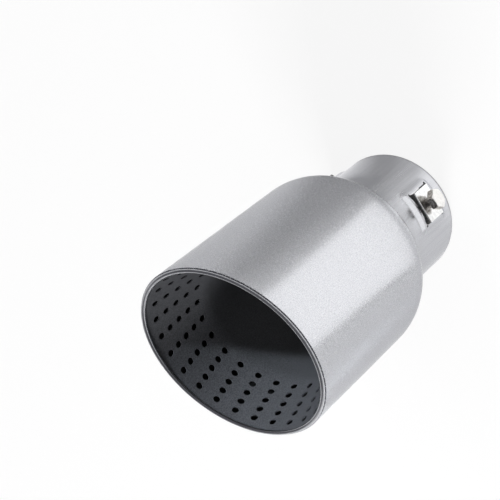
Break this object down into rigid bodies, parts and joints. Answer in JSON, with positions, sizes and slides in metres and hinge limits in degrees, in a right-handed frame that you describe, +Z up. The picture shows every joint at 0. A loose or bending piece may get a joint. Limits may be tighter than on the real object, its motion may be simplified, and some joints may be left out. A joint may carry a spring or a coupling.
{
  "type": "exhaust tip",
  "caption": "A slant-cut round exhaust tip in satin silver, with a rolled lip, a black perforated funnel liner, and screw clamps set in windows of its narrower neck.",
  "frame": {"origin": "centre of the inlet end, which the tip stands on", "axes": "+Z runs up the axis from the inlet to the mouth, +Y points to the long side of the slanted lip"},
  "size_m": [0.1, 0.1, 0.1989],
  "materials": {
    "shell_silver": "fine-grained satin silver under a clear gloss",
    "liner_black": "satin charcoal",
    "bracket_zinc": "bright zinc plate",
    "bolt_steel": "bright steel, darker on the sides of the head"
  },
  "bodies": {
    "root": {"outer_shell": "shell_silver", "perforated_liner": "liner_black", "clamp_bracket_1": "bracket_zinc", "clamp_bracket_2": "bracket_zinc", "clamp_bracket_3": "bracket_zinc", "clamp_bolt_1": "bolt_steel", "clamp_bolt_2": "bolt_steel", "clamp_bolt_3": "bolt_steel"}
  },
  "joints": []
}
